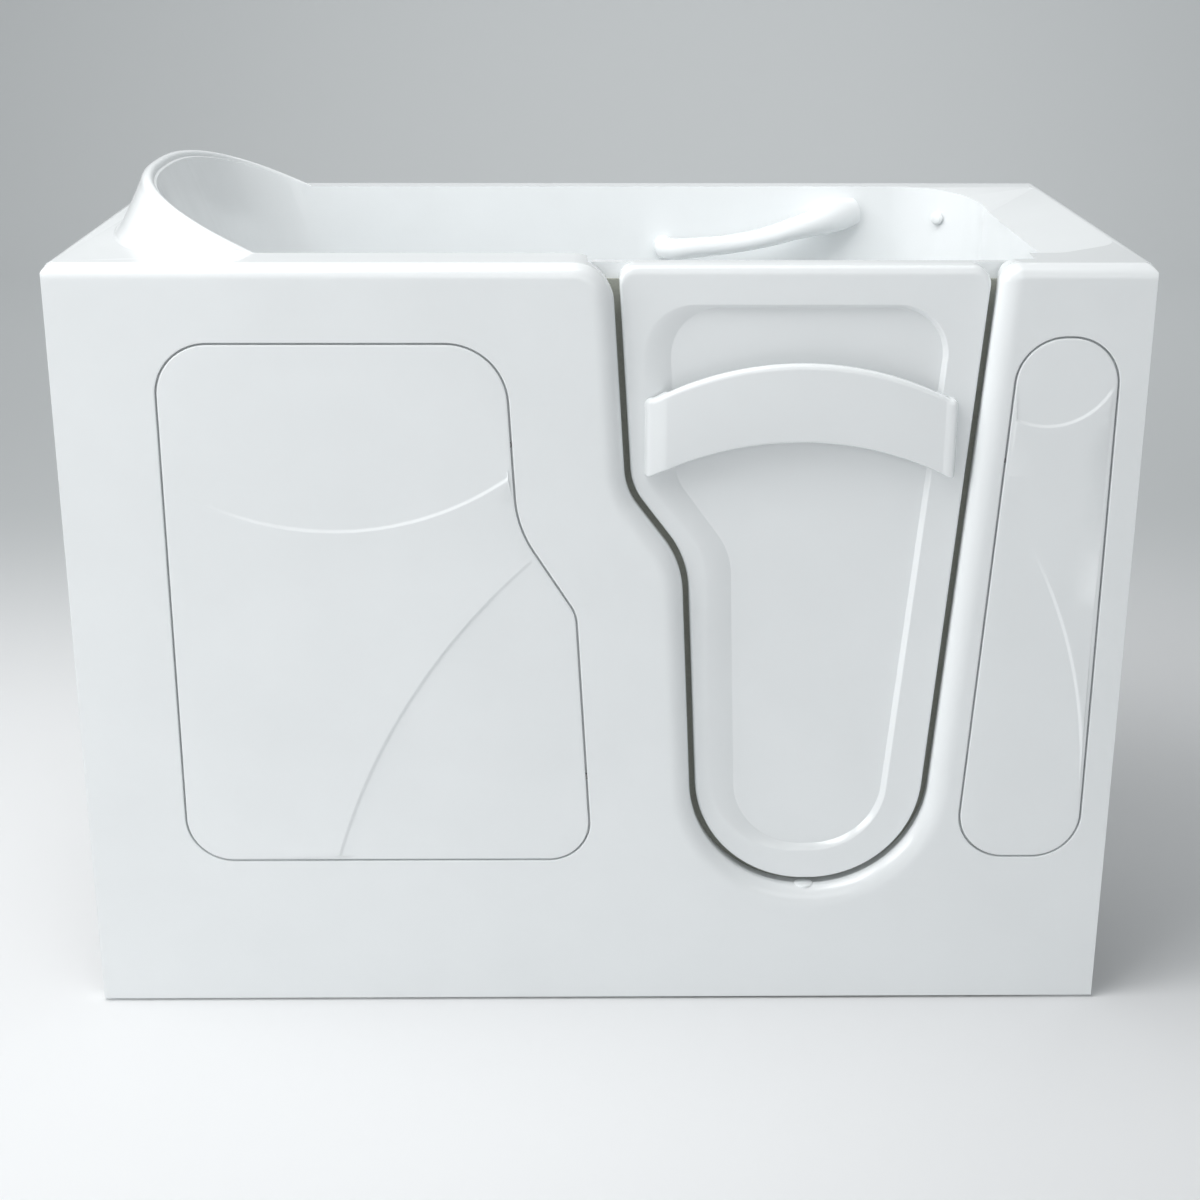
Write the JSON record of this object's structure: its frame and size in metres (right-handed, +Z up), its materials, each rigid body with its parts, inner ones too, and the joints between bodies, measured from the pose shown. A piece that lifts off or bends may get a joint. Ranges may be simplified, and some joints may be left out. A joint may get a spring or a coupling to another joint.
{
  "type": "walk in bathtub with door",
  "caption": "Walk-in bathtub with an inward-opening door, low threshold, moulded seat, raised backrest rim, grab bar and lift-off access panels in the apron.",
  "frame": {"origin": "middle of the footprint at floor level", "axes": "+Z up, -Y out of the front apron and door, +X towards the door end, foot of the bath"},
  "size_m": [1.346, 0.7, 1.0825],
  "materials": {
    "gelcoat": "glossy white gelcoat",
    "magnet": "dull nickel",
    "door_foam": "rigid foam",
    "seal_rubber": "soft matt",
    "stainless": "satin stainless steel",
    "pipe_plastic": "satin white",
    "chrome": "polished chrome",
    "frame_steel": "grey powder coat",
    "timber": "plain board",
    "zinc_steel": "zinc plated"
  },
  "bodies": {
    "tub": {"tub_shell": "gelcoat", "front_apron": "gelcoat", "left_panel_magnets": "magnet", "right_panel_magnets": "magnet", "lower_hinge_frame_leaf": "stainless", "lower_hinge_pin": "stainless", "upper_hinge_frame_leaf": "stainless", "upper_hinge_pin": "stainless", "hinge_frame_screws": "stainless", "latch_keeper": "stainless", "keeper_screws": "stainless", "threshold_cap": "gelcoat", "grab_bar": "gelcoat", "grab_bar_plates": "stainless", "grab_bar_screws": "stainless", "overflow_cover": "gelcoat", "overflow_elbow": "pipe_plastic", "overflow_pipe": "pipe_plastic", "drain_flange": "chrome", "drain_nut": "pipe_plastic", "drain_tee": "pipe_plastic", "front_rail": "frame_steel", "back_rail": "frame_steel", "cross_members": "frame_steel", "front_posts": "frame_steel", "back_posts": "frame_steel", "left_seat_trestle": "frame_steel", "right_seat_trestle": "frame_steel", "seat_board": "timber", "floor_board": "timber", "apron_spacers": "timber", "foot_lock_nuts": "zinc_steel"},
    "left_panel": {"left_access_panel": "gelcoat"},
    "right_panel": {"right_access_panel": "gelcoat"},
    "door": {"door_outer_skin": "gelcoat", "door_core": "door_foam", "door_inner_skin": "gelcoat", "door_seal": "seal_rubber", "band_handle": "gelcoat", "band_handle_screws": "stainless", "lower_hinge_door_leaf": "stainless", "upper_hinge_door_leaf": "stainless", "hinge_door_screws": "stainless", "latch_housing": "stainless", "latch_housing_screws": "stainless"},
    "latch": {"latch_spindle": "stainless", "latch_cam": "stainless", "latch_lever": "stainless", "latch_cap": "stainless"},
    "stopper": {"drain_stopper": "chrome"},
    "front_left_leg": {"front_left_foot": "zinc_steel"},
    "front_right_leg": {"front_right_foot": "zinc_steel"},
    "back_left_leg": {"back_left_foot": "zinc_steel"},
    "back_right_leg": {"back_right_foot": "zinc_steel"}
  },
  "joints": [
    {"name": "door_swing", "type": "hinge", "parent": "tub", "child": "door", "pos_m": [0.517, -0.282, 0.6], "axis": [0, 0, -1], "range_deg": [0, 88]},
    {"name": "latch_turn", "type": "hinge", "parent": "door", "child": "latch", "pos_m": [0.037, -0.255, 0.79], "axis": [0, -1, 0], "range_deg": [0, 90]},
    {"name": "left_panel_off", "type": "slide", "parent": "tub", "child": "left_panel", "axis": [0, -1, 0], "range_m": [0, 0.12]},
    {"name": "right_panel_off", "type": "slide", "parent": "tub", "child": "right_panel", "axis": [0, -1, 0], "range_m": [0, 0.12]},
    {"name": "stopper_lift", "type": "slide", "parent": "tub", "child": "stopper", "axis": [0, 0, 1], "range_m": [0, 0.01]},
    {"name": "front_left_foot_turn", "type": "hinge", "parent": "tub", "child": "front_left_leg", "pos_m": [-0.5985, -0.3075, 0.02], "axis": [0, 0, 1], "range_deg": [-180, 180]},
    {"name": "front_right_foot_turn", "type": "hinge", "parent": "tub", "child": "front_right_leg", "pos_m": [0.5985, -0.3075, 0.02], "axis": [0, 0, 1], "range_deg": [-180, 180]},
    {"name": "back_left_foot_turn", "type": "hinge", "parent": "tub", "child": "back_left_leg", "pos_m": [-0.5985, 0.3295, 0.02], "axis": [0, 0, 1], "range_deg": [-180, 180]},
    {"name": "back_right_foot_turn", "type": "hinge", "parent": "tub", "child": "back_right_leg", "pos_m": [0.5985, 0.3295, 0.02], "axis": [0, 0, 1], "range_deg": [-180, 180]}
  ]
}
